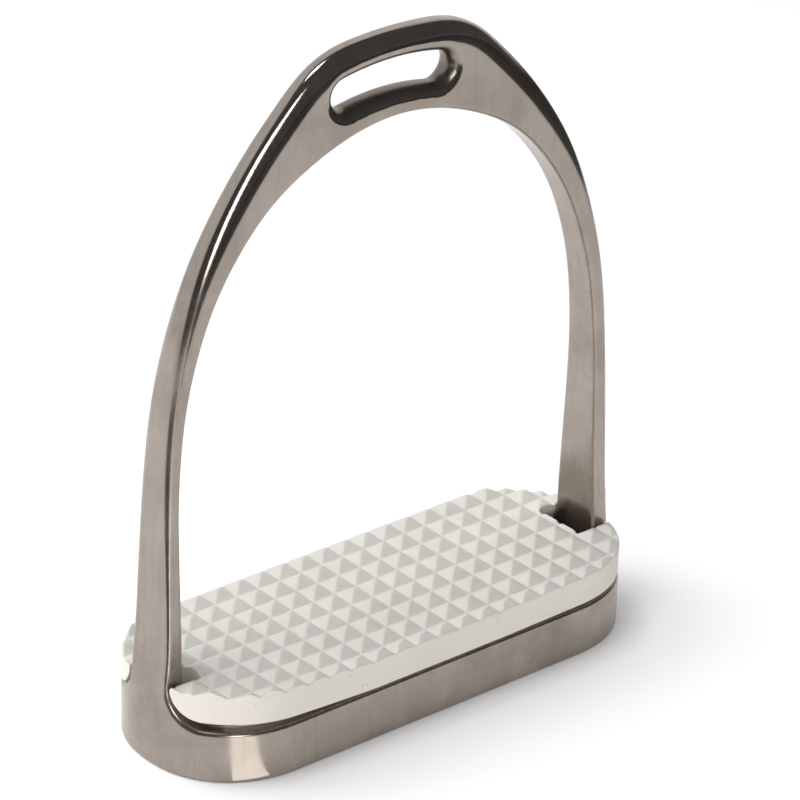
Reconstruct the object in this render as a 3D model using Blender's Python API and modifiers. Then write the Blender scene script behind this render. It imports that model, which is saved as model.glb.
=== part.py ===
"""Fillis-pattern stirrup iron with a push-in rubber tread.

Two pieces:
  iron_casting  one stainless-steel casting: crown with the leather eye, two
                legs, and an open-floored base frame
  tread_pad     one moulded rubber tread with a grid of square pyramids, a notch
                round each leg, and a plug with lugs that fills the base frame

Frame: +Z up, +X along the tread, +Y across it; the origin is under the middle
of the base, on the plane that the iron stands on.  Dimensions are millimetres,
turned into metres when the meshes are made.
"""
import bpy
import bmesh
import math
import numpy as np
from mathutils import Matrix

MM = 0.001

# ---------------------------------------------------------------- dimensions
# base frame
BASE_HALF_LENGTH = 65.9
BASE_HALF_WIDTH = 24.0
BASE_END_RADIUS = 24.6        # length of each rounded end along X
BASE_END_POWER = 2.18         # 2 would be a plain ellipse
BASE_HEIGHT = 12.7
BASE_EDGE = 0.8               # rounding of the frame's edges
WALL = 3.6                    # wall round the tread's socket
FLOOR = 4.2                   # thickness of the floor bars
WINDOW_HALF_WIDTH = 13.6
WINDOWS = ((-36.5, 14.0), (0.0, 15.0), (36.5, 14.0))   # centre x, half length
WINDOW_CORNER = 5.0

# arch: outside and inside lines in the X-Z plane, from the crown to the leg
OUTER_LINE = ((0.0, 160.4), (8.0, 160.1), (15.0, 159.2), (20.0, 157.5),
              (24.5, 154.8), (30.3, 149.4), (37.9, 141.2), (45.7, 131.0),
              (52.0, 120.5), (56.2, 110.7), (59.2, 101.0), (61.9, 89.1),
              (63.4, 77.5), (64.1, 65.8), (64.3, 50.0), (64.3, 28.0))
INSIDE_LINE = ((0.0, 139.8), (12.5, 138.1), (24.3, 133.7), (34.9, 127.3),
               (43.4, 118.8), (49.9, 109.0), (54.4, 98.4), (57.4, 87.8),
               (59.1, 77.0), (60.0, 66.1), (60.3, 52.0), (60.3, 28.0))
INSIDE_HALF_WIDTH = 60.3      # 4 3/4 inches between the legs

# half depth of the arch (along Y) at the crown and at the foot of the leg
HALF_DEPTH_CROWN = 3.5
HALF_DEPTH_FOOT = 6.4
DEPTH_POWER = 1.5
LEG_START = 28.0
# rounded outer corner of the arch section: width in Y, height in thickness
EDGE_CROWN = (2.4, 2.4)
EDGE_LEG = (0.8, 0.8)
INNER_EDGE = 0.7
# sweep where each leg runs out into the base frame
FILLET = 8.7
BLEND_TOP = 33.0

# leather eye: slot through the crown along Y, bent to follow the crown
EYE_HALF_LENGTH = 16.9
EYE_HALF_HEIGHT = 3.9
EYE_CENTRE_Z = 149.7
EYE_BEND_RADIUS = 64.0
EYE_LIP = 1.9

# rubber tread
GAP = 0.3
PITCH = 6.1                   # pyramid grid
PYRAMID = 1.5
VALLEY_Z = 20.0
NOTCH_X = 55.8
NOTCH_HALF_WIDTH = 7.3
PLUG_GAP = 0.4
LUG_GAP = 0.5
LUG_BOTTOM = 0.6

STEEL = (0.52, 0.49, 0.46, 1.0)
RUBBER = (0.82, 0.79, 0.73, 1.0)


# ------------------------------------------------------------------- helpers
def clear_objects():
    for ob in list(bpy.data.objects):
        bpy.data.objects.remove(ob, do_unlink=True)


def new_collection(name):
    col = bpy.data.collections.new(name)
    bpy.context.scene.collection.children.link(col)
    return col


def new_material(name, colour, metallic, roughness):
    mat = bpy.data.materials.new(name)
    mat.use_nodes = True
    bsdf = mat.node_tree.nodes["Principled BSDF"]
    bsdf.inputs["Base Color"].default_value = colour
    bsdf.inputs["Metallic"].default_value = metallic
    bsdf.inputs["Roughness"].default_value = roughness
    mat.diffuse_color = colour
    return mat


def mesh_object(name, mesh, collection, cutter=False):
    ob = bpy.data.objects.new(name, mesh)
    collection.objects.link(ob)
    if cutter:
        ob.hide_render = True
        ob.display_type = "WIRE"
    return ob


def plate(name, outline, z0, z1, collection, cutter=False):
    """A flat outline (mm) extruded from z0 to z1, as a closed mesh."""
    cu = bpy.data.curves.new(name + "_outline", "CURVE")
    cu.dimensions = "2D"
    cu.fill_mode = "BOTH"
    cu.extrude = 0.5 * (z1 - z0) * MM
    sp = cu.splines.new("POLY")
    sp.points.add(len(outline) - 1)
    for p, (x, y) in zip(sp.points, outline):
        p.co = (x * MM, y * MM, 0.0, 1.0)
    sp.use_cyclic_u = True
    tmp = bpy.data.objects.new(name + "_tmp", cu)
    tmp.location = (0.0, 0.0, 0.5 * (z0 + z1) * MM)
    collection.objects.link(tmp)
    bpy.context.view_layer.update()
    dg = bpy.context.evaluated_depsgraph_get()
    me = bpy.data.meshes.new_from_object(tmp.evaluated_get(dg))
    me.transform(tmp.matrix_world)
    bpy.data.objects.remove(tmp, do_unlink=True)
    bm = bmesh.new()
    bm.from_mesh(me)
    bmesh.ops.remove_doubles(bm, verts=bm.verts, dist=1e-6)
    bmesh.ops.recalc_face_normals(bm, faces=bm.faces)
    bm.to_mesh(me)
    bm.free()
    me.name = name
    return mesh_object(name, me, collection, cutter)


def boolean(ob, operation, operand):
    m = ob.modifiers.new(operation.lower() + "_" + operand.name, "BOOLEAN")
    m.operation = operation
    m.object = operand
    m.solver = "EXACT"
    return m


def spline_through(points, closed_start=True):
    """Natural cubic through the points, by chord length; level at the start."""
    p = np.array(points, float)
    if closed_start:                       # mirror across x = 0
        p = np.vstack([p[:0:-1] * [-1, 1], p])
    d = np.r_[0.0, np.cumsum(np.hypot(*np.diff(p, axis=0).T))]
    n = len(p)
    h = np.diff(d)
    a = np.zeros((n, n))
    b = np.zeros((n, 2))
    a[0, 0] = a[-1, -1] = 1.0
    for i in range(1, n - 1):
        a[i, i - 1:i + 2] = h[i - 1], 2 * (h[i - 1] + h[i]), h[i]
        b[i] = 6 * ((p[i + 1] - p[i]) / h[i] - (p[i] - p[i - 1]) / h[i - 1])
    m = np.linalg.solve(a, b)

    def at(s):
        i = int(np.clip(np.searchsorted(d, s) - 1, 0, n - 2))
        u, v, w = s - d[i], d[i + 1] - s, h[i]
        return (m[i] * v ** 3 + m[i + 1] * u ** 3) / (6 * w) \
            + (p[i] / w - m[i] * w / 6) * v + (p[i + 1] / w - m[i + 1] * w / 6) * u
    start = d[len(points) - 1] if closed_start else 0.0
    return at, start, d[-1]


def smooth(t):
    t = min(1.0, max(0.0, t))
    return t * t * (3 - 2 * t)


# -------------------------------------------------------------- base outline
def end_x(y, inset=0.0):
    """X of the base outline at y, on the +X end."""
    b = BASE_HALF_WIDTH - inset
    r = BASE_END_RADIUS - inset
    a = BASE_HALF_LENGTH - inset
    f = max(0.0, 1.0 - (abs(y) / b) ** BASE_END_POWER)
    return a - r + r * f ** (1.0 / BASE_END_POWER)


def base_outline(inset=0.0, steps=18, max_x=None):
    """The base frame's outline, counter-clockwise, inset by a distance."""
    b = BASE_HALF_WIDTH - inset
    r = BASE_END_RADIUS - inset
    c = BASE_HALF_LENGTH - BASE_END_RADIUS
    e = 2.0 / BASE_END_POWER
    right = []
    for i in range(steps + 1):
        t = -0.5 * math.pi + math.pi * i / steps
        cx, sy = max(0.0, math.cos(t)), math.sin(t)
        right.append((c + r * cx ** e, b * math.copysign(abs(sy) ** e, sy)))
    if max_x is not None:
        edge = max(y for x, y in right if x > max_x - 6.0)
        lo, hi = 0.0, b
        for _ in range(40):
            mid = 0.5 * (lo + hi)
            if end_x(mid, inset) > max_x:
                lo = mid
            else:
                hi = mid
        right = [q for q in right if q[0] < max_x - 0.2]
        low = [q for q in right if q[1] < 0] + [(max_x, -lo)]
        right = low + [(-0.0 + max_x, lo)] + [q for q in right if q[1] > 0]
    left = [(-x, y) for x, y in reversed(right)]
    return right + left


def rounded_rect(cx, cy, hx, hy, r, steps=5):
    pts = []
    for sx, sy, a0 in ((1, -1, -90), (1, 1, 0), (-1, 1, 90), (-1, -1, 180)):
        for i in range(steps + 1):
            a = math.radians(a0 + 90 * i / steps)
            pts.append((cx + sx * (hx - r) + r * math.cos(a),
                        cy + sy * (hy - r) + r * math.sin(a)))
    return pts


def foot_half_width(z):
    """Half width (Y) of the leg, with the sweep into the base frame."""
    if z >= BASE_HEIGHT + FILLET:
        return HALF_DEPTH_FOOT
    d = FILLET - max(0.0, z - BASE_HEIGHT)
    return HALF_DEPTH_FOOT + FILLET - math.sqrt(FILLET ** 2 - d ** 2)


def half_depth(z):
    if z <= LEG_START:
        return max(HALF_DEPTH_FOOT, foot_half_width(z))
    top = OUTER_LINE[0][1]
    f = 1.0 - (z - LEG_START) / (top - LEG_START)
    return HALF_DEPTH_CROWN + (HALF_DEPTH_FOOT - HALF_DEPTH_CROWN) \
        * max(0.0, f) ** DEPTH_POWER


# ---------------------------------------------------------------------- arch
def inside_line():
    """Inside line from the top centre to LEG_START, as a dense polyline."""
    at, s0, s1 = spline_through(INSIDE_LINE)
    pts = [at(s0 + (s1 - s0) * i / 300.0) for i in range(301)]
    pts[0][0] = 0.0
    return np.array(pts)


def along(poly, f):
    d = np.r_[0.0, np.cumsum(np.hypot(*np.diff(poly, axis=0).T))]
    s = f * d[-1]
    return np.array((np.interp(s, d, poly[:, 0]), np.interp(s, d, poly[:, 1])))


def section(po, pi):
    """Closed ring of points round the arch, through the outer point po and the
    inner point pi (both X-Z)."""
    z = po[1]
    k = 0.0
    if z < BLEND_TOP and po[0] > 50.0:
        k = smooth((BLEND_TOP - z) / (BLEND_TOP - BASE_HEIGHT - 1.5))
    ty = half_depth(z)
    up = smooth((z - 25.0) / 105.0)
    bw = EDGE_LEG[0] + (EDGE_CROWN[0] - EDGE_LEG[0]) * up
    bt = EDGE_LEG[1] + (EDGE_CROWN[1] - EDGE_LEG[1]) * up

    def ends(y):
        """Inner and outer X-Z point of the section at depth y."""
        if k == 0.0:
            return pi, po
        a, b = pi.copy(), po.copy()
        b[0] = (1 - k) * po[0] + k * (end_x(y) - 0.12)
        a[0] = (1 - k) * pi[0] + k * min(pi[0], end_x(y, WALL) + 0.12)
        return a, b

    def at(y, t_in=None, t_out=None):
        a, b = ends(y)
        e = (b - a) / np.linalg.norm(b - a)
        q = a + e * t_in if t_in is not None else b - e * t_out
        return (q[0], y, q[1])

    ring = []
    for i in range(7):                     # inner face, -Y to +Y
        y = (ty - INNER_EDGE) * (-1 + 2 * i / 6.0)
        ring.append(at(y, t_in=0.0))
    ring.append(at(ty, t_in=INNER_EDGE))
    ring.append(at(ty, t_out=bt))          # back face, then its outer corner
    for a in (30, 60):
        c, s = math.cos(math.radians(a)), math.sin(math.radians(a))
        ring.append(at(ty - bw * (1 - c), t_out=bt * (1 - s)))
    for i in range(7):                     # outer face, +Y to -Y
        y = (ty - bw) * (1 - 2 * i / 6.0)
        ring.append(at(y, t_out=0.0))
    for a in (60, 30):
        c, s = math.cos(math.radians(a)), math.sin(math.radians(a))
        ring.append(at(-ty + bw * (1 - c), t_out=bt * (1 - s)))
    ring.append(at(-ty, t_out=bt))
    ring.append(at(-ty, t_in=INNER_EDGE))
    return ring


def make_arch(collection):
    """Half of the arch, lofted from the crown's centre to inside the base
    frame and mirrored to the other half."""
    outer, s0, s1 = spline_through(OUTER_LINE)
    inside = inside_line()
    rings = []
    n = 40
    for i in range(n + 1):
        f = i / n
        po = outer(s0 + f * (s1 - s0))
        pi = along(inside, f)
        if i == 0:
            po[0] = pi[0] = 0.0
        if i == n:
            po, pi = np.array((OUTER_LINE[-1][0], LEG_START)), \
                np.array((INSIDE_HALF_WIDTH, LEG_START))
        rings.append(section(po, pi))
    for z in (25.5, 23.0, 21.0, 19.2, 17.6, 16.2, 15.0, 14.0, 13.2, 12.6, 12.1,
              BASE_HEIGHT - 0.9, 7.0):
        rings.append(section(np.array((OUTER_LINE[-1][0], z)),
                             np.array((INSIDE_HALF_WIDTH, z))))
    bm = bmesh.new()
    loops = [[bm.verts.new([c * MM for c in q]) for q in r] for r in rings]
    m = len(loops[0])
    for a, b in zip(loops, loops[1:]):
        for j in range(m):
            k = (j + 1) % m
            bm.faces.new((a[j], a[k], b[k], b[j]))
    bm.faces.new(list(reversed(loops[-1])))
    bmesh.ops.recalc_face_normals(bm, faces=bm.faces)
    # the open end lies on x = 0; faces must look away from the section
    centre = sum((np.array(v.co) for v in loops[20]), np.zeros(3)) / m
    f = next(f for f in bm.faces if loops[20][3] in f.verts)
    if f.normal.dot((f.calc_center_median() - type(f.normal)(centre))) < 0:
        bmesh.ops.reverse_faces(bm, faces=bm.faces)
    bmesh.ops.triangulate(bm, faces=[f for f in bm.faces if len(f.verts) > 4])
    me = bpy.data.meshes.new("iron_casting")
    bm.to_mesh(me)
    bm.free()
    ob = mesh_object("iron_casting", me, collection)
    mir = ob.modifiers.new("both_legs", "MIRROR")
    mir.use_axis = (True, False, False)
    mir.merge_threshold = 0.00005
    return ob


def make_base_frame(collection):
    """Outer wall with a socket for the tread and three windows in its floor."""
    ob = plate("base_frame_blank", base_outline(), 0.0, BASE_HEIGHT, collection, True)
    bev = ob.modifiers.new("edges", "BEVEL")
    bev.width = BASE_EDGE * MM
    bev.segments = 2
    bev.limit_method = "ANGLE"
    bev.angle_limit = math.radians(50)
    socket = plate("socket_cut", base_outline(WALL), FLOOR, BASE_HEIGHT + 5.0,
                   collection, True)
    boolean(ob, "DIFFERENCE", socket)
    for i, (cx, hx) in enumerate(WINDOWS):
        w = plate("window_cut_%d" % i,
                  rounded_rect(cx, 0.0, hx, WINDOW_HALF_WIDTH, WINDOW_CORNER),
                  -2.0, FLOOR + 2.0, collection, True)
        boolean(ob, "DIFFERENCE", w)
    return ob


def eye_outline(grow=0.0, steps=14):
    """The bent obround of the eye in the X-Z plane, as (x, z) points."""
    r = EYE_HALF_HEIGHT + grow
    half = EYE_HALF_LENGTH - EYE_HALF_HEIGHT
    span = half / EYE_BEND_RADIUS
    cz = EYE_CENTRE_Z - EYE_BEND_RADIUS
    pts = []
    for i in range(steps + 1):             # top side, right to left
        a = span * (1 - 2 * i / steps)
        rr = EYE_BEND_RADIUS + r
        pts.append((rr * math.sin(a), cz + rr * math.cos(a)))
    for i in range(1, 8):                  # left end
        a = math.pi * i / 8
        c = (-EYE_BEND_RADIUS * math.sin(span), cz + EYE_BEND_RADIUS * math.cos(span))
        t = math.pi / 2 + span + a
        pts.append((c[0] + r * math.cos(t), c[1] + r * math.sin(t)))
    for i in range(steps + 1):             # bottom side, left to right
        a = span * (-1 + 2 * i / steps)
        rr = EYE_BEND_RADIUS - r
        pts.append((rr * math.sin(a), cz + rr * math.cos(a)))
    for i in range(1, 8):                  # right end
        a = math.pi * i / 8
        c = (EYE_BEND_RADIUS * math.sin(span), cz + EYE_BEND_RADIUS * math.cos(span))
        t = -math.pi / 2 - span + a
        pts.append((c[0] + r * math.cos(t), c[1] + r * math.sin(t)))
    return pts


def make_eye_cutter(collection):
    """The slot, with a small chamfer where it breaks the front and back."""
    depth = HALF_DEPTH_CROWN
    stations = ((-depth - 3.0, EYE_LIP + 3.0), (-depth - 0.02, EYE_LIP),
                (-depth + EYE_LIP, 0.0), (depth - EYE_LIP, 0.0),
                (depth + 0.02, EYE_LIP), (depth + 3.0, EYE_LIP + 3.0))
    bm = bmesh.new()
    loops = []
    for y, grow in stations:
        grow = min(grow, EYE_LIP + 0.4) if abs(y) > depth + 1 else grow
        loops.append([bm.verts.new((x * MM, y * MM, z * MM))
                      for x, z in eye_outline(grow)])
    m = len(loops[0])
    for a, b in zip(loops, loops[1:]):
        for j in range(m):
            k = (j + 1) % m
            bm.faces.new((a[j], a[k], b[k], b[j]))
    bm.faces.new(loops[0])
    bm.faces.new(list(reversed(loops[-1])))
    bmesh.ops.recalc_face_normals(bm, faces=bm.faces)
    me = bpy.data.meshes.new("eye_cut")
    bm.to_mesh(me)
    bm.free()
    return mesh_object("eye_cut", me, collection, True)


# --------------------------------------------------------------------- tread
def make_tread(collection, cutters):
    """Pyramid-topped slab trimmed to the base outline, with leg notches, a
    plug for the socket and a lug for each floor window."""
    nx = int(math.ceil(BASE_HALF_LENGTH / PITCH)) * 2
    ny = int(math.ceil(BASE_HALF_WIDTH / PITCH)) * 2
    bm = bmesh.new()
    bmesh.ops.create_grid(bm, x_segments=nx, y_segments=ny, size=0.5)
    for v in bm.verts:
        v.co.x *= nx * PITCH * MM
        v.co.y *= ny * PITCH * MM
        v.co.z = VALLEY_Z * MM
    top = list(bm.faces)
    rim = [e for e in bm.edges if e.is_boundary]
    ext = bmesh.ops.extrude_edge_only(bm, edges=rim)
    low = [g for g in ext["geom"] if isinstance(g, bmesh.types.BMVert)]
    for v in low:
        v.co.z = (BASE_HEIGHT + GAP) * MM
    bmesh.ops.contextual_create(
        bm, geom=[e for e in bm.edges if e.is_boundary])
    poked = bmesh.ops.poke(bm, faces=top, offset=0.0, center_mode="MEAN")
    for v in poked["verts"]:
        v.co.z = (VALLEY_Z + PYRAMID) * MM
    bmesh.ops.triangulate(bm, faces=[f for f in bm.faces if len(f.verts) > 4])
    bmesh.ops.recalc_face_normals(bm, faces=bm.faces)
    me = bpy.data.meshes.new("tread_pad")
    bm.to_mesh(me)
    bm.free()
    pad = mesh_object("tread_pad", me, collection)

    trim = plate("tread_trim", base_outline(0.15, 24), 8.0, 26.0, cutters, True)
    boolean(pad, "INTERSECT", trim)

    # plug in the socket, cut short at the notches, and its lugs
    plug = plate("tread_plug", base_outline(WALL + PLUG_GAP, 18, NOTCH_X),
                 FLOOR + GAP, BASE_HEIGHT + 2.0, cutters, True)
    for i, (cx, hx) in enumerate(WINDOWS):
        lug = plate("tread_lug_%d" % i,
                    rounded_rect(cx, 0.0, hx - LUG_GAP, WINDOW_HALF_WIDTH - LUG_GAP,
                                 WINDOW_CORNER - LUG_GAP),
                    LUG_BOTTOM, BASE_HEIGHT, cutters, True)
        boolean(plug, "UNION", lug)
    boolean(pad, "UNION", plug)

    # notch round each leg, and relief under the wings for the leg's sweep
    for side in (-1, 1):
        notch = plate("notch_cut_%s" % ("l" if side < 0 else "r"),
                      rounded_rect(side * (NOTCH_X + 10.0), 0.0, 10.0,
                                   NOTCH_HALF_WIDTH, 1.0),
                      -3.0, 30.0, cutters, True)
        boolean(pad, "DIFFERENCE", notch)
        prof = []
        for i in range(13):
            z = BASE_HEIGHT + FILLET * (1 - math.cos(0.5 * math.pi * i / 12))
            prof.append((foot_half_width(z) + 0.55, z + 0.45))
        prof.append((foot_half_width(30.0) + 0.55, 24.0))
        ring = [(w, z) for w, z in reversed(prof)] + [(prof[0][0] + 1.0, 11.0),
                (-prof[0][0] - 1.0, 11.0)] + [(-w, z) for w, z in prof]
        relief = plate("sweep_relief_%s" % ("l" if side < 0 else "r"), ring,
                       -8.0, 8.0, cutters, True)
        relief.data.transform(Matrix.Rotation(math.pi / 2, 4, "X"))
        relief.data.transform(Matrix.Rotation(math.pi / 2, 4, "Z"))
        relief.data.transform(Matrix.Translation((side * 63.5 * MM, 0.0, 0.0)))
        boolean(pad, "DIFFERENCE", relief)
    return pad


# ---------------------------------------------------------------------- main
def main():
    clear_objects()
    parts = new_collection("stirrup_iron")
    cutters = new_collection("cutters")

    iron = make_arch(parts)
    base = make_base_frame(cutters)
    boolean(iron, "UNION", base)
    boolean(iron, "DIFFERENCE", make_eye_cutter(cutters))
    iron.data.materials.append(new_material("cast_stainless", STEEL, 1.0, 0.28))
    iron.data.shade_smooth()
    iron.data.set_sharp_from_angle(angle=math.radians(35))

    pad = make_tread(parts, cutters)
    pad.data.materials.append(new_material("white_rubber", RUBBER, 0.0, 0.6))


main()
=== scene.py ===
"""Looks of the stirrup iron: the fine surface of the steel casting and of the
rubber tread, their materials, and a plain studio."""
import bpy
import math
import numpy as np
from mathutils import Matrix, Vector


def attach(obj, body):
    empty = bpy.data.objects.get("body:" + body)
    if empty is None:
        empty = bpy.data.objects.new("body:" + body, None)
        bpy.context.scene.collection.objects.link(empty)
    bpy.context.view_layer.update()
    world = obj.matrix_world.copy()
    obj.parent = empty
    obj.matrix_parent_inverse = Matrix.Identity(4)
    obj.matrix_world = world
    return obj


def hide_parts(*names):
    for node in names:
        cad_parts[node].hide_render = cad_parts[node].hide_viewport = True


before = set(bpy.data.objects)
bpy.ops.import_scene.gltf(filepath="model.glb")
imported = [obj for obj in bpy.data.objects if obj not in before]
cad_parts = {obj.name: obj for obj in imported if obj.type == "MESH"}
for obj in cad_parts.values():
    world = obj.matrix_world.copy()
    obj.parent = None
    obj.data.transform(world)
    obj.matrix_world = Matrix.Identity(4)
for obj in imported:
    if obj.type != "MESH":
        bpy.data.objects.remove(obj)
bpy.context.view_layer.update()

# ------------------------------------------------------------------ dimensions (mm)
A, B, ER, EP = 65.9, 23.995, 24.6, 2.18        # base outline: half sizes, end length, power
H, WALL, FLOOR = 12.7, 3.6, 4.2
WINDOWS = ((-36.5, 14.0), (0.0, 15.0), (36.5, 14.0))
OUTER = ((0.0, 160.0), (8.0, 159.7), (15.0, 158.8), (20.0, 157.1), (24.5, 154.4),
         (30.3, 149.1), (37.9, 141.0), (45.7, 130.9), (52.0, 120.4), (56.2, 110.6),
         (59.2, 100.9), (61.9, 89.1), (63.4, 77.5), (64.1, 65.8), (64.3, 50.0),
         (64.33, 38.0), (64.5, 31.0), (64.9, 25.0), (65.5, 19.5), (66.3, 14.5),
         (67.4, 9.0))
INNER = ((0.0, 140.3), (12.5, 138.6), (24.3, 134.2), (34.9, 127.7), (43.4, 118.9),
         (49.9, 109.0), (54.4, 98.4), (57.4, 87.8), (59.1, 77.0), (60.0, 66.1),
         (60.3, 52.0), (60.3, 28.0))
T_CROWN, T_FOOT, T_POWER = 3.45, 6.4, 1.7
SWEEP = 8.7
EYE = dict(x=-1.3, half=16.5, r=3.55, z=149.7, bend=64.0, lip_y=3.3, lip_z=3.0)
PITCH, PYR, VALLEY, PAD_LOW = 6.2, 1.6, 19.9, 13.0
LATTICE = (-1.5, -0.55)
NOTCH_X, NOTCH_W = 55.8, 7.3


# ------------------------------------------------------------------ smooth curves
class Spline:
    """Natural cubic spline through 2-D points, with nearest-point search."""

    def __init__(self, pts, mirror=False):
        p = np.array(pts, float)
        if mirror:
            p = np.vstack([p[:0:-1] * [-1, 1], p])
        d = np.r_[0.0, np.cumsum(np.hypot(*np.diff(p, axis=0).T))]
        n, h = len(p), np.diff(d)
        a, b = np.zeros((n, n)), np.zeros((n, 2))
        a[0, 0] = a[-1, -1] = 1.0
        for i in range(1, n - 1):
            a[i, i - 1:i + 2] = h[i - 1], 2 * (h[i - 1] + h[i]), h[i]
            b[i] = 6 * ((p[i + 1] - p[i]) / h[i] - (p[i] - p[i - 1]) / h[i - 1])
        self.m, self.p, self.d, self.h = np.linalg.solve(a, b), p, d, h
        self.s0 = d[len(pts) - 1] if mirror else 0.0
        k = max(40, int((d[-1] - self.s0) / 1.2))
        self.cs = np.linspace(self.s0, d[-1], k)
        self.cp = self.at(self.cs)[0]

    def at(self, s):
        i = np.clip(np.searchsorted(self.d, s) - 1, 0, len(self.h) - 1)
        w = self.h[i][:, None]
        u, v = (s - self.d[i])[:, None], (self.d[i + 1] - s)[:, None]
        m0, m1, p0, p1 = self.m[i], self.m[i + 1], self.p[i], self.p[i + 1]
        q = (m0 * v ** 3 + m1 * u ** 3) / (6 * w) + (p0 / w - m0 * w / 6) * v \
            + (p1 / w - m1 * w / 6) * u
        q1 = (m1 * u ** 2 - m0 * v ** 2) / (2 * w) - (p0 / w - m0 * w / 6) \
            + (p1 / w - m1 * w / 6)
        q2 = (m0 * v + m1 * u) / w
        return q, q1, q2

    def distance(self, x, z):
        """Signed distance, positive on the left of the direction of travel."""
        out = np.empty(len(x))
        for a in range(0, len(x), 60000):
            P = np.stack([x[a:a + 60000], z[a:a + 60000]], 1)
            k = np.argmin((P[:, :1] - self.cp[:, 0]) ** 2
                          + (P[:, 1:] - self.cp[:, 1]) ** 2, axis=1)
            s = self.cs[k].copy()
            for _ in range(5):
                q, q1, q2 = self.at(s)
                g = ((q - P) * q1).sum(1)
                gg = (q1 ** 2).sum(1) + ((q - P) * q2).sum(1)
                step = np.clip(g / np.where(np.abs(gg) < 0.15, 0.15, np.abs(gg)), -1.5, 1.5)
                s = np.clip(s - step, self.s0, self.d[-1])
            q, q1, _ = self.at(s)
            t = q1 / np.linalg.norm(q1, axis=1)[:, None]
            e = P - q
            end = (s >= self.d[-1] - 1e-9) | (s <= self.s0 + 1e-9)
            side = t[:, 0] * e[:, 1] - t[:, 1] * e[:, 0]
            d = np.where(end, side, np.sign(side) * np.hypot(e[:, 0], e[:, 1]))
            out[a:a + 60000] = d
        return out


def outline_quarter(inset=0.0, n=40):
    b, r, c = B - inset, ER - inset, A - ER
    pts = [(x, b) for x in np.linspace(0.0, c, 12)[:-1]]
    for t in np.linspace(0.0, 1.0, n):
        a = 0.5 * math.pi * t
        pts.append((c + r * math.sin(a) ** (2 / EP), b * max(0.0, math.cos(a)) ** (2 / EP)))
    # even spacing along the line
    p = np.array(pts)
    d = np.r_[0.0, np.cumsum(np.hypot(*np.diff(p, axis=0).T))]
    s = np.linspace(0, d[-1], 48)
    q = np.stack([np.interp(s, d, p[:, 0]), np.interp(s, d, p[:, 1])], 1)
    # onto the true line
    for j in range(len(q)):
        x, y = q[j]
        if x > c and 0 < y:
            u, w = (x - c) / r, y / b
            f = (u ** EP + w ** EP) ** (1 / EP)
            q[j] = c + (x - c) / f, y / f
    return q


S_OUT, S_IN = Spline(OUTER, True), Spline(INNER, True)
S_BASE = Spline(outline_quarter())
S_BASE.s0 = 0.0


def d_base(x, y):
    """Signed distance to the base outline in the X-Y plane, positive outside."""
    return S_BASE.distance(np.abs(x), np.abs(y))


def smooth5(t):
    t = np.clip(t, 0.0, 1.0)
    return t * t * t * (t * (6 * t - 15) + 10)


def rmax(a, b, r):
    """Intersection with the edge rounded to radius r."""
    u, v = np.maximum(a + r, 0.0), np.maximum(b + r, 0.0)
    return np.minimum(np.maximum(a, b), 0.0 * a - r) * 0.0 + \
        np.where((u > 0) & (v > 0), np.hypot(u, v) - r, np.maximum(a, b))


def rmax2(a, b, ra, rb):
    """Intersection with an elliptical edge: ra measured along a, rb along b."""
    u, v = np.maximum(a / ra + 1.0, 0.0), np.maximum(b / rb + 1.0, 0.0)
    k = np.sqrt(np.maximum(u * u + v * v, 1e-12))
    # thickness of the ellipse along the gradient keeps this near a true distance
    w = k / np.sqrt(np.maximum((u / ra) ** 2 + (v / rb) ** 2, 1e-12))
    return np.where((u > 0) & (v > 0), (k - 1.0) * w, np.maximum(a, b))


def rmin(a, b, r):
    """Union with the inside corner filled to radius r."""
    u, v = np.maximum(r - a, 0.0), np.maximum(r - b, 0.0)
    return np.where((u > 0) & (v > 0), r - np.hypot(u, v), np.minimum(a, b))


def box2(x, y, cx, cy, hx, hy, r):
    u, v = np.abs(x - cx) - hx + r, np.abs(y - cy) - hy + r
    return np.hypot(np.maximum(u, 0), np.maximum(v, 0)) + np.minimum(np.maximum(u, v), 0) - r


def half_depth(z):
    f = np.clip(1.0 - (z - 28.0) / (OUTER[0][1] - 28.0), 0.0, 1.0)
    return T_CROWN + (T_FOOT - T_CROWN) * f ** T_POWER


def eye_distance(x, z):
    """Bent obround of the leather eye, in the X-Z plane."""
    cz = EYE["z"] - EYE["bend"]
    rad = np.hypot(x - EYE["x"], z - cz)
    ang = np.arctan2(x - EYE["x"], z - cz) * EYE["bend"]
    half = EYE["half"] - EYE["r"]
    return np.hypot(np.maximum(np.abs(ang) - half, 0.0), rad - EYE["bend"]) - EYE["r"]


def iron_f(x, y, z, dO, dI, dB, dE, dW):
    """Distance-like function of the casting: negative inside.
    dO, dI outside and inside line (X-Z), dB base outline, dE eye, dW windows."""
    k = smooth5((33.0 - z) / (33.0 - H - 1.5))
    up = smooth5((z - 20.0) / 60.0)
    ry = 0.9 + 1.9 * up
    rz = 0.9 + 1.1 * smooth5((z - 30.0) / 50.0) + 2.9 * smooth5((z - 92.0) / 48.0)
    ri = 0.85 + 0.5 * up
    gy = rmin(np.abs(y) - half_depth(z), z - H, SWEEP)
    go = rmax(dO, dB, 0.35)
    gi = (1 - k) * dI + k * np.minimum(dI, -dB - WALL)
    gi = rmin(gi, z - FLOOR, 0.8)
    arch = np.maximum(rmax2(gy, go, ry, rz), rmax(gy, gi, ri))
    arch = rmax2(arch, -dE, EYE["lip_y"], EYE["lip_z"])
    arch = rmax(arch, -z, 0.7)
    return rmax(arch, -np.maximum(dW, z - FLOOR - 2.0), 0.4)


def windows_distance(x, y):
    d = np.full(x.shape, 1e3)
    for cx, hx in WINDOWS:
        d = np.minimum(d, box2(x, y, cx, 0.0, hx, 13.6, 5.0))
    return d


def iron_at(P):
    x, y, z = P.T
    ax = np.abs(x)
    dO, dI = S_OUT.distance(ax, z), -S_IN.distance(ax, z)
    dB = d_base(x, y)
    return iron_f(x, y, z, dO, dI, dB, eye_distance(x, z), windows_distance(x, y))


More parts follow.
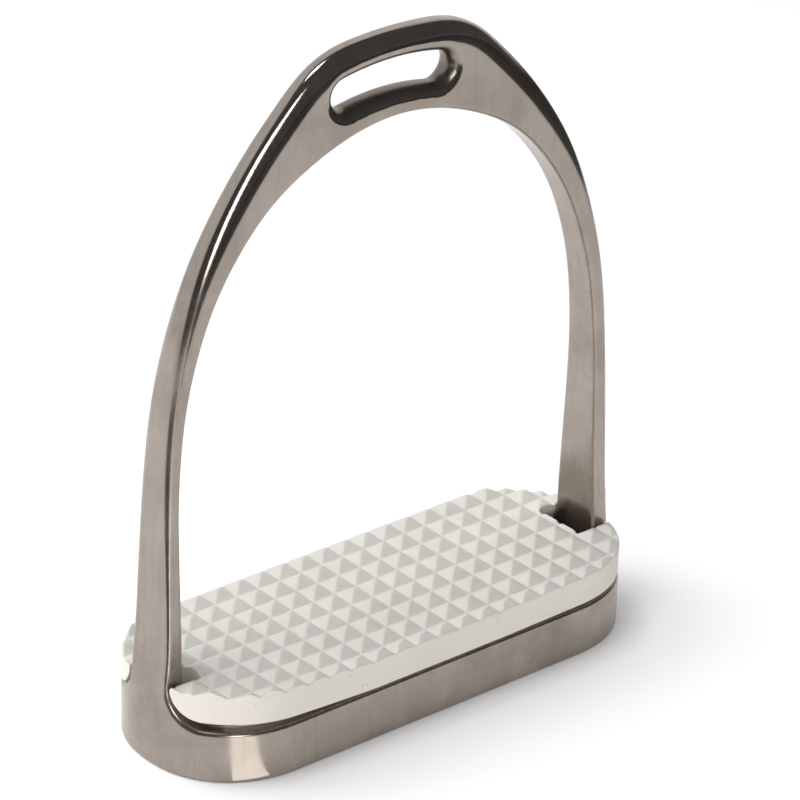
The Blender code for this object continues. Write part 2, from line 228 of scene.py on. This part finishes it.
# ------------------------------------------------------------------ surface nets
def nets(F, origin, step):
    """Quads round the zero set of a grid F (nx, ny, nz); negative is inside."""
    S = F < 0
    nx, ny, nz = F.shape
    c = S[:-1, :-1, :-1].astype(np.int8)
    for dx, dy, dz in ((1, 0, 0), (0, 1, 0), (0, 0, 1), (1, 1, 0), (1, 0, 1), (0, 1, 1), (1, 1, 1)):
        c = c + S[dx:nx - 1 + dx, dy:ny - 1 + dy, dz:nz - 1 + dz]
    act = (c > 0) & (c < 8)
    idx = np.full(act.shape, -1, np.int64)
    I, J, K = np.nonzero(act)
    idx[I, J, K] = np.arange(len(I))
    acc, cnt = np.zeros((len(I), 3)), np.zeros(len(I))
    for ax in range(3):
        o1, o2 = [i for i in range(3) if i != ax]
        for a in (0, 1):
            for b in (0, 1):
                p0 = [I.copy(), J.copy(), K.copy()]
                p0[o1] = p0[o1] + a
                p0[o2] = p0[o2] + b
                p1 = [q.copy() for q in p0]
                p1[ax] = p1[ax] + 1
                f0, f1 = F[tuple(p0)], F[tuple(p1)]
                m = (f0 < 0) != (f1 < 0)
                t = f0[m] / (f0[m] - f1[m])
                q = np.stack([p[m].astype(float) for p in p0], 1)
                q[:, ax] += t
                acc[m] += q
                cnt[m] += 1
    V = acc / cnt[:, None] * step + origin
    quads = []
    for ax in range(3):
        o1, o2 = (ax + 1) % 3, (ax + 2) % 3
        sl0 = [slice(None)] * 3
        sl1 = [slice(None)] * 3
        sl0[ax], sl1[ax] = slice(0, -1), slice(1, None)
        a, b = S[tuple(sl0)], S[tuple(sl1)]
        e = np.nonzero(a != b)
        e = [q.copy() for q in e]
        ok = (e[o1] > 0) & (e[o2] > 0) & (e[o1] < F.shape[o1] - 1) & (e[o2] < F.shape[o2] - 1)
        e = [q[ok] for q in e]
        inside = a[tuple(e)]
        cells = []
        for d1, d2 in ((-1, -1), (0, -1), (0, 0), (-1, 0)):
            q = [v.copy() for v in e]
            q[o1] = q[o1] + d1
            q[o2] = q[o2] + d2
            cells.append(idx[tuple(q)])
        Q = np.stack(cells, 1)
        Q[~inside] = Q[~inside][:, ::-1]
        quads.append(Q)
    return V, np.vstack(quads)


def settle(V, func, h, rounds):
    """Moves the points onto the zero set and returns them with unit normals."""
    for r in range(rounds + 1):
        g = np.empty_like(V)
        for a in range(3):
            e = np.zeros(3)
            e[a] = h
            g[:, a] = (func(V + e) - func(V - e)) / (2 * h)
        n = np.linalg.norm(g, axis=1)[:, None]
        if r == rounds:
            return V, g / np.maximum(n, 1e-9)
        f = func(V)[:, None]
        move = -f * g / np.maximum(n * n, 0.05)
        L = np.linalg.norm(move, axis=1)[:, None]
        V = V + move * np.minimum(1.0, 0.6 / np.maximum(L, 1e-9))
    return V, g


def mesh_from(name, V, Q, N, attrs=()):
    me = bpy.data.meshes.new(name)
    me.vertices.add(len(V))
    me.vertices.foreach_set("co", (V * 0.001).astype(np.float32).ravel())
    me.loops.add(Q.size)
    me.loops.foreach_set("vertex_index", Q.astype(np.int32).ravel())
    me.polygons.add(len(Q))
    me.polygons.foreach_set("loop_start", (np.arange(len(Q)) * 4).astype(np.int32))
    me.polygons.foreach_set("loop_total", np.full(len(Q), 4, np.int32))
    me.update(calc_edges=True)
    me.validate()
    me.polygons.foreach_set("use_smooth", np.ones(len(me.polygons), bool))
    me.normals_split_custom_set_from_vertices(N.astype(np.float32).tolist())
    for n, v in attrs:
        at = me.attributes.new(n, "FLOAT", "POINT")
        at.data.foreach_set("value", np.asarray(v, np.float32))
    ob = bpy.data.objects.new(name, me)
    bpy.context.scene.collection.objects.link(ob)
    return ob


def build_iron(step):
    x = np.arange(0.0, A + 1.6, step)
    y = np.arange(0.0, B + 1.6, step)
    z = np.arange(-1.5, OUTER[0][1] + 1.6, step) + 0.013
    X, Z = np.meshgrid(x, z, indexing="ij")
    dO = S_OUT.distance(X.ravel(), Z.ravel()).reshape(X.shape)
    dI = -S_IN.distance(X.ravel(), Z.ravel()).reshape(X.shape)
    Xb, Yb = np.meshgrid(x, y, indexing="ij")
    dB = d_base(Xb.ravel(), Yb.ravel()).reshape(Xb.shape)
    dWp = windows_distance(Xb, Yb)

    def mir(F, ax):
        return np.concatenate([np.flip(F, ax).take(range(0, F.shape[ax] - 1), ax), F], ax)
    xs, ys = mir(-x, 0) * 1.0, mir(-y, 0) * 1.0
    xs = np.r_[-x[:0:-1], x]
    ys = np.r_[-y[:0:-1], y]
    dO, dI, dB, dWp = mir(dO, 0), mir(dI, 0), mir(mir(dB, 0), 1), mir(mir(dWp, 0), 1)
    Xs, Zs = np.meshgrid(xs, z, indexing="ij")
    dE = eye_distance(Xs, Zs)
    F = np.empty((len(xs), len(ys), len(z)), np.float32)
    for k in range(len(z)):
        zk = np.full((len(xs), len(ys)), z[k])
        F[:, :, k] = iron_f(None, np.broadcast_to(ys, zk.shape), zk, dO[:, k][:, None] + 0 * zk,
                            dI[:, k][:, None] + 0 * zk, dB, dE[:, k][:, None] + 0 * zk, dWp)
    F = F + 1e-5
    V, Q = nets(F, np.array((xs[0], ys[0], z[0])), step)
    V, N = settle(V, iron_at, 0.04, 2)
    skin = smooth5((2.4 - eye_distance(V[:, 0], V[:, 2])) / 1.8)
    return mesh_from("iron_casting_surface", V, Q, N, (("skin", skin),))


# ------------------------------------------------------------------ tread
def pyramid_top(x, y):
    """Height of the grip surface: square pyramids on a level lattice."""
    u = np.abs(((x - LATTICE[0]) / PITCH) % 1.0 - 0.5) * PITCH
    v = np.abs(((y - LATTICE[1]) / PITCH) % 1.0 - 0.5) * PITCH
    k = 0.5                                   # soft ridge
    m = np.maximum(u, v) + 0.5 * (np.maximum(k - np.abs(u - v), 0.0) ** 2) / (2 * k)
    h = (PITCH / 2 - m) * (PYR / (PITCH / 2))
    top = PYR - 0.1
    h = np.where(h > top - 0.25, h - (np.maximum(h - top + 0.25, 0.0) ** 2) / 0.9, h)
    return VALLEY + np.maximum(h, 0.05)


def tread_at(P):
    x, y, z = P.T
    dB = d_base(x, y)
    top = (z - pyramid_top(x, y)) * 0.88
    # the front edge slopes a little, and cuts the outermost row of pyramids
    room = 0.3 + 2.5 * np.maximum(smooth5((y + 8.0) / 16.0), smooth5((-x - 22.0) / 16.0))
    bevel = (z - VALLEY - room + 0.5 * np.minimum(dB + 0.12, 0.0)) * 0.92
    top = rmax(top, bevel, 0.12)
    slab = rmax(np.maximum(top, PAD_LOW - z), dB + 0.12, 0.35)
    plug = np.maximum(np.maximum(dB + WALL + 0.4, np.abs(x) - NOTCH_X), np.maximum(z - PAD_LOW - 2.0, FLOOR + 0.3 - z))
    lug = np.full(x.shape, 1e3)
    for cx, hx in WINDOWS:
        lug = np.minimum(lug, box2(x, y, cx, 0.0, hx - 0.5, 13.1, 4.5))
    lug = np.maximum(lug, np.maximum(0.7 - z, z - PAD_LOW - 2.0))
    f = np.minimum(slab, np.minimum(plug, lug))
    notch = np.maximum(NOTCH_X - np.abs(x), box2(x, y, 0.0, 0.0, 90.0, NOTCH_W, 0.1))
    notch = box2(np.abs(x), y, NOTCH_X + 14.0, 0.0, 14.0, NOTCH_W, 1.0)
    f = rmax(f, -notch, 0.25)
    # room over the sweep at the foot of each leg
    sweep = rmin(np.abs(y) - T_FOOT, z - H, SWEEP) - 0.45
    sweep = np.maximum(sweep, NOTCH_X - 0.3 - np.abs(x))
    return rmax(f, -sweep, 0.2)


def lift(x, y):
    """How far the rubber has crept up out of the frame, in mm."""
    a = np.clip((-x - 18.0) / 48.0, 0, 1) * np.clip((-y + 16.0) / 40.0, 0, 1)
    b = np.clip((x - 20.0) / 46.0, 0, 1) * np.clip((-y + 10.0) / 34.0, 0, 1)
    return 2.9 * a ** 1.25 + 0.7 * b


def build_tread(step):
    x = np.arange(0.0, A + 1.0, step)
    y = np.arange(0.0, B + 1.0, step)
    x, y = np.r_[-x[:0:-1], x], np.r_[-y[:0:-1], y]
    z = np.arange(0.0, VALLEY + PYR + 1.0, step) + 0.011
    Xb, Yb = np.meshgrid(x, y, indexing="ij")
    F = np.empty((len(x), len(y), len(z)), np.float32)
    flat = np.stack([Xb.ravel(), Yb.ravel(), 0 * Xb.ravel()], 1)
    global d_base
    full, keep = d_base, None
    cache = d_base(flat[:, 0], flat[:, 1])
    d_base = lambda a, b: cache
    for k in range(len(z)):
        flat[:, 2] = z[k]
        F[:, :, k] = tread_at(flat).reshape(Xb.shape)
    d_base = full
    F = F + 1e-5
    V, Q = nets(F, np.array((x[0], y[0], z[0])), step)
    V, N = settle(V, tread_at, 0.07, 2)
    # depth below the tips, for the dirt in the valleys, before the pad is lifted
    low = np.clip((VALLEY + PYR - V[:, 2]) / PYR, 0, 1) * (V[:, 2] > VALLEY - 0.3)
    h = 0.05
    L = lift(V[:, 0], V[:, 1])
    lx = (lift(V[:, 0] + h, V[:, 1]) - lift(V[:, 0] - h, V[:, 1])) / (2 * h)
    ly = (lift(V[:, 0], V[:, 1] + h) - lift(V[:, 0], V[:, 1] - h)) / (2 * h)
    N = np.stack([N[:, 0] - lx * N[:, 2], N[:, 1] - ly * N[:, 2], N[:, 2]], 1)
    N /= np.linalg.norm(N, axis=1)[:, None]
    V = V.copy()
    V[:, 2] += L
    return mesh_from("tread_pad_surface", V, Q, N, (("valley", low),))


# ------------------------------------------------------------------ materials
def nodes_of(name):
    m = bpy.data.materials.new(name)
    m.use_nodes = True
    nt = m.node_tree
    return m, nt, nt.nodes, nt.links, nt.nodes["Principled BSDF"]


def noise(N, L, vec, scale, detail=3.0, rough=0.5):
    n = N.new("ShaderNodeTexNoise")
    n.inputs["Scale"].default_value = scale
    n.inputs["Detail"].default_value = detail
    n.inputs["Roughness"].default_value = rough
    L.new(vec, n.inputs["Vector"])
    return n.outputs["Fac"]


def remap(N, L, val, a, b, c, d, smooth=False):
    n = N.new("ShaderNodeMapRange")
    n.interpolation_type = "SMOOTHSTEP" if smooth else "LINEAR"
    n.inputs["From Min"].default_value = a
    n.inputs["From Max"].default_value = b
    n.inputs["To Min"].default_value = c
    n.inputs["To Max"].default_value = d
    L.new(val, n.inputs["Value"])
    return n.outputs["Result"]


def maths(N, L, op, a, b):
    n = N.new("ShaderNodeMath")
    n.operation = op
    for i, v in enumerate((a, b)):
        if isinstance(v, (int, float)):
            n.inputs[i].default_value = v
        else:
            L.new(v, n.inputs[i])
    return n.outputs[0]


def mix(N, L, fac, a, b):
    n = N.new("ShaderNodeMix")
    n.data_type = "RGBA"
    if isinstance(fac, (int, float)):
        n.inputs["Factor"].default_value = fac
    else:
        L.new(fac, n.inputs["Factor"])
    for s, v in (("A", a), ("B", b)):
        sock = [i for i in n.inputs if i.name == s and i.type == "RGBA"][0]
        if isinstance(v, tuple):
            sock.default_value = v
        else:
            L.new(v, sock)
    return [o for o in n.outputs if o.type == "RGBA"][0]


def steel():
    m, nt, N, L, bsdf = nodes_of("cast_stainless_steel")
    tc = N.new("ShaderNodeTexCoord")
    pos = tc.outputs["Object"]
    sep = N.new("ShaderNodeSeparateXYZ")
    L.new(pos, sep.inputs[0])
    crown = remap(N, L, sep.outputs["Z"], 0.085, 0.135, 0.0, 1.0, True)
    # polishing lines, fine and long along the legs and round the frame
    mp = N.new("ShaderNodeMapping")
    mp.inputs["Scale"].default_value = (1.0, 1.0, 0.06)
    L.new(pos, mp.inputs["Vector"])
    lines = noise(N, L, mp.outputs[0], 5200.0, 2.0, 0.6)
    blot = noise(N, L, pos, 95.0, 4.0, 0.55)
    fine = noise(N, L, pos, 900.0, 3.0, 0.6)
    r = remap(N, L, blot, 0.3, 0.75, 0.20, 0.31)
    r = maths(N, L, "ADD", r, remap(N, L, lines, 0.3, 0.7, -0.035, 0.035))
    r = maths(N, L, "MULTIPLY", r, remap(N, L, crown, 0.0, 1.0, 1.0, 0.42))
    skin = N.new("ShaderNodeAttribute")
    skin.attribute_name = "skin"
    inside = skin.outputs["Fac"]
    r = maths(N, L, "ADD", r, maths(N, L, "MULTIPLY", inside, 0.20))
    L.new(r, bsdf.inputs["Roughness"])
    cool = mix(N, L, remap(N, L, blot, 0.35, 0.7, 0.0, 1.0), (0.325, 0.283, 0.248, 1), (0.392, 0.350, 0.314, 1))
    stain = remap(N, L, noise(N, L, pos, 42.0, 5.0, 0.62), 0.52, 0.74, 0.0, 0.65)
    tone = mix(N, L, stain, cool, (0.225, 0.186, 0.155, 1))
    mp2 = N.new("ShaderNodeMapping")
    mp2.inputs["Scale"].default_value = (1.0, 1.0, 0.12)
    L.new(pos, mp2.inputs["Vector"])
    streak = remap(N, L, noise(N, L, mp2.outputs[0], 520.0, 3.0, 0.6), 0.50, 0.72, 0.0, 0.38)
    tone = mix(N, L, streak, tone, (0.27, 0.225, 0.19, 1))
    tone = mix(N, L, maths(N, L, "MULTIPLY", inside, 0.85), tone, (0.17, 0.148, 0.128, 1))
    L.new(tone, bsdf.inputs["Base Color"])
    bsdf.inputs["Metallic"].default_value = 1.0
    bump = N.new("ShaderNodeBump")
    bump.inputs["Strength"].default_value = 0.035
    bump.inputs["Distance"].default_value = 0.0002
    hgt = maths(N, L, "ADD", lines, maths(N, L, "MULTIPLY", fine, 0.8))
    L.new(hgt, bump.inputs["Height"])
    L.new(bump.outputs[0], bsdf.inputs["Normal"])
    return m


def rubber():
    m, nt, N, L, bsdf = nodes_of("white_moulded_rubber")
    tc = N.new("ShaderNodeTexCoord")
    pos = tc.outputs["Object"]
    at = N.new("ShaderNodeAttribute")
    at.attribute_name = "valley"
    blot = noise(N, L, pos, 60.0, 4.0, 0.55)
    tint = remap(N, L, blot, 0.3, 0.7, 0.0, 1.0)
    # painted light by facing: faces turned sideways (the walls) get a brighter cream tone and upward faces (the grip)
    # a greyer one, standing in for the light falling on the walls
    geo = N.new("ShaderNodeNewGeometry")
    gz = N.new("ShaderNodeSeparateXYZ")
    L.new(geo.outputs["Normal"], gz.inputs[0])
    side = remap(N, L, gz.outputs["Z"], 0.35, 0.75, 1.0, 0.0, True)
    grip = mix(N, L, tint, (0.595, 0.572, 0.535, 1), (0.65, 0.625, 0.588, 1))
    painted_lit_wall = mix(N, L, tint, (0.79, 0.74, 0.665, 1), (0.84, 0.795, 0.725, 1))
    base = mix(N, L, side, grip, painted_lit_wall)
    # grime that has settled in some of the valleys
    low = remap(N, L, at.outputs["Fac"], 0.72, 1.0, 0.0, 1.0, True)
    patch = remap(N, L, noise(N, L, pos, 130.0, 4.0, 0.6), 0.52, 0.72, 0.0, 0.5)
    base = mix(N, L, maths(N, L, "MULTIPLY", low, patch), base, (0.48, 0.43, 0.36, 1))
    speck = remap(N, L, noise(N, L, pos, 700.0, 2.0, 0.5), 0.735, 0.77, 0.0, 0.7)
    base = mix(N, L, speck, base, (0.30, 0.26, 0.21, 1))
    L.new(base, bsdf.inputs["Base Color"])
    L.new(remap(N, L, blot, 0.3, 0.7, 0.46, 0.62), bsdf.inputs["Roughness"])
    bsdf.inputs["Specular IOR Level"].default_value = 0.4
    bump = N.new("ShaderNodeBump")
    bump.inputs["Strength"].default_value = 0.25
    bump.inputs["Distance"].default_value = 0.00012
    L.new(noise(N, L, pos, 2600.0, 3.0, 0.6), bump.inputs["Height"])
    L.new(bump.outputs[0], bsdf.inputs["Normal"])
    return m


# ------------------------------------------------------------------ build
iron = build_iron(0.5)
iron.data.materials.append(steel())
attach(iron, "iron")
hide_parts("iron_casting")

pad = build_tread(PITCH / 20)
pad.data.materials.append(rubber())
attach(pad, "tread")
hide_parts("tread_pad")


# ------------------------------------------------------------------ studio
def plain(name, colour, rough=0.9):
    m, nt, N, L, bsdf = nodes_of(name)
    tc = N.new("ShaderNodeTexCoord")
    n = noise(N, L, tc.outputs["Object"], 8.0)
    c = mix(N, L, n, colour, tuple(v * 0.985 for v in colour[:3]) + (1.0,))
    L.new(c, bsdf.inputs["Base Color"])
    bsdf.inputs["Roughness"].default_value = rough
    bsdf.inputs["Specular IOR Level"].default_value = 0.1
    bsdf.inputs["Emission Color"].default_value = (1.0, 1.0, 1.0, 1.0)
    bsdf.inputs["Emission Strength"].default_value = 0.10
    return m


def sheet_object(name, verts, material):
    me = bpy.data.meshes.new(name)
    me.from_pydata(verts, [], [tuple(range(len(verts)))])
    me.materials.append(material)
    ob = bpy.data.objects.new(name, me)
    bpy.context.scene.collection.objects.link(ob)
    return ob


floor = sheet_object("studio_floor", [(-3, -3, 0), (3, -3, 0), (3, 3, 0), (-3, 3, 0)],
                     plain("pale_floor", (0.9, 0.9, 0.9, 1.0)))


def area(name, direction, distance, size, size_y, power, aim=(0, 0, 0.07), colour=(1, 1, 1)):
    d = Vector(direction).normalized()
    li = bpy.data.lights.new(name, "AREA")
    li.shape = "RECTANGLE"
    li.size, li.size_y = size, size_y
    li.energy = power
    li.color = colour
    ob = bpy.data.objects.new(name, li)
    ob.location = Vector(aim) + d * distance
    ob.rotation_mode = "QUATERNION"
    ob.rotation_quaternion = d.to_track_quat("Z", "Y")
    ob.visible_camera = False
    bpy.context.scene.collection.objects.link(ob)
    return ob


def flag(name, angles, r0, r1, z, centre=(0.0, 0.0), level=0.0):
    """A card lying on the set: it only shows as a reflection in the steel."""
    m, nt, N, L, bsdf = nodes_of(name)
    bsdf.inputs["Base Color"].default_value = (0.075, 0.072, 0.068, 1.0)
    bsdf.inputs["Roughness"].default_value = 0.9
    bsdf.inputs["Emission Color"].default_value = (1.0, 0.985, 0.96, 1.0)
    bsdf.inputs["Emission Strength"].default_value = level
    a = [math.radians(v) for v in np.linspace(angles[0], angles[1], 40)]
    cx, cy = centre
    pts = [(cx + r0 * math.cos(v), cy + r0 * math.sin(v), z) for v in a] + \
          [(cx + r1 * math.cos(v), cy + r1 * math.sin(v), z) for v in reversed(a)]
    n = len(a)
    me = bpy.data.meshes.new(name)
    me.from_pydata(pts, [], [(i, i + 1, 2 * n - 2 - i, 2 * n - 1 - i) for i in range(n - 1)])
    me.materials.append(m)
    ob = bpy.data.objects.new(name, me)
    bpy.context.scene.collection.objects.link(ob)
    ob.visible_camera = ob.visible_diffuse = ob.visible_shadow = ob.visible_transmission = False
    return ob


flag("flag_front_right", (-118.0, 27.0), 0.42, 2.9, 0.002)
flag("flag_camera_side", (-176.0, -131.0), 0.062, 0.6, 0.0006, (-0.0413, 0.0006), 0.03)
flag("card_corner", (-127.0, -107.0), 0.0255, 0.16, 0.0008, (-0.0413, 0.0006), 2.2)
area("soft_overhead_left", (-0.20, 0.16, 0.93), 1.6, 0.5, 0.5, 8.0)
area("strip_front_left", (-0.44, -0.80, 0.38), 1.5, 0.42, 0.8, 6.0)
for name, direction, power in (("fill_left", (-0.75, -0.15, 0.75), 9.0),
                               ("fill_top", (0.1, 0.3, 1.0), 6.0),
                               ("fill_back", (-0.5, 0.9, 0.7), 9.0)):
    fill = area(name, direction, 1.8, 1.3, 1.3, power)
    fill.visible_glossy = False

bpy.context.scene.view_settings.view_transform = "Standard"
bpy.context.scene.view_settings.look = "None"

world = bpy.data.worlds.new("studio")
bpy.context.scene.world = world
world.use_nodes = True
WN, WL = world.node_tree.nodes, world.node_tree.links
bg = WN["Background"]
wtc = WN.new("ShaderNodeTexCoord")
wsep = WN.new("ShaderNodeSeparateXYZ")
WL.new(wtc.outputs["Generated"], wsep.inputs[0])
# white backdrop behind the object, up to about 45 degrees, and a dimmer room in front
facing = remap(WN, WL, wsep.outputs["Y"], -0.08, 0.25, 0.0, 1.0, True)
height = remap(WN, WL, wsep.outputs["Z"], 0.68, 0.80, 1.0, 0.0, True)
lit = maths(WN, WL, "MULTIPLY", facing, height)
level = remap(WN, WL, lit, 0.0, 1.0, 0.11, 0.96)
lp = WN.new("ShaderNodeLightPath")
seen = mix(WN, WL, lp.outputs["Is Camera Ray"], mix(WN, WL, level, (0, 0, 0, 1), (1, 1, 1, 1)), (1.0, 1.0, 1.0, 1))
WL.new(seen, bg.inputs["Color"])
bg.inputs["Strength"].default_value = 1.0

# ------------------------------------------------------------------ camera
F_PX, AZ, EL, ROLL, DIST = 4652.56, -40.387, 27.347, -1.659, 1.06608
CX, CY, TARGET = 397.03, 403.02, Vector((0.017049, 0.014646, 0.057667))
a, e, r = (math.radians(v) for v in (AZ, EL, ROLL))
bk = Vector((math.sin(a) * math.cos(e), -math.cos(a) * math.cos(e), math.sin(e)))
rt = Vector((math.cos(a), math.sin(a), 0.0))
up = bk.cross(rt)
rt2, up2 = rt * math.cos(r) - up * math.sin(r), rt * math.sin(r) + up * math.cos(r)
cam_data = bpy.data.cameras.new("camera")
cam_data.sensor_width = 36.0
cam_data.lens = F_PX * 36.0 / 800.0
cam_data.shift_x = (400.0 - CX) / 800.0
cam_data.shift_y = (CY - 400.0) / 800.0
cam_data.clip_start, cam_data.clip_end = 0.01, 50.0
cam = bpy.data.objects.new("camera", cam_data)
cam.matrix_world = Matrix((rt2, up2, bk)).transposed().to_4x4()
cam.location = TARGET + bk * DIST
bpy.context.scene.collection.objects.link(cam)
bpy.context.scene.camera = cam
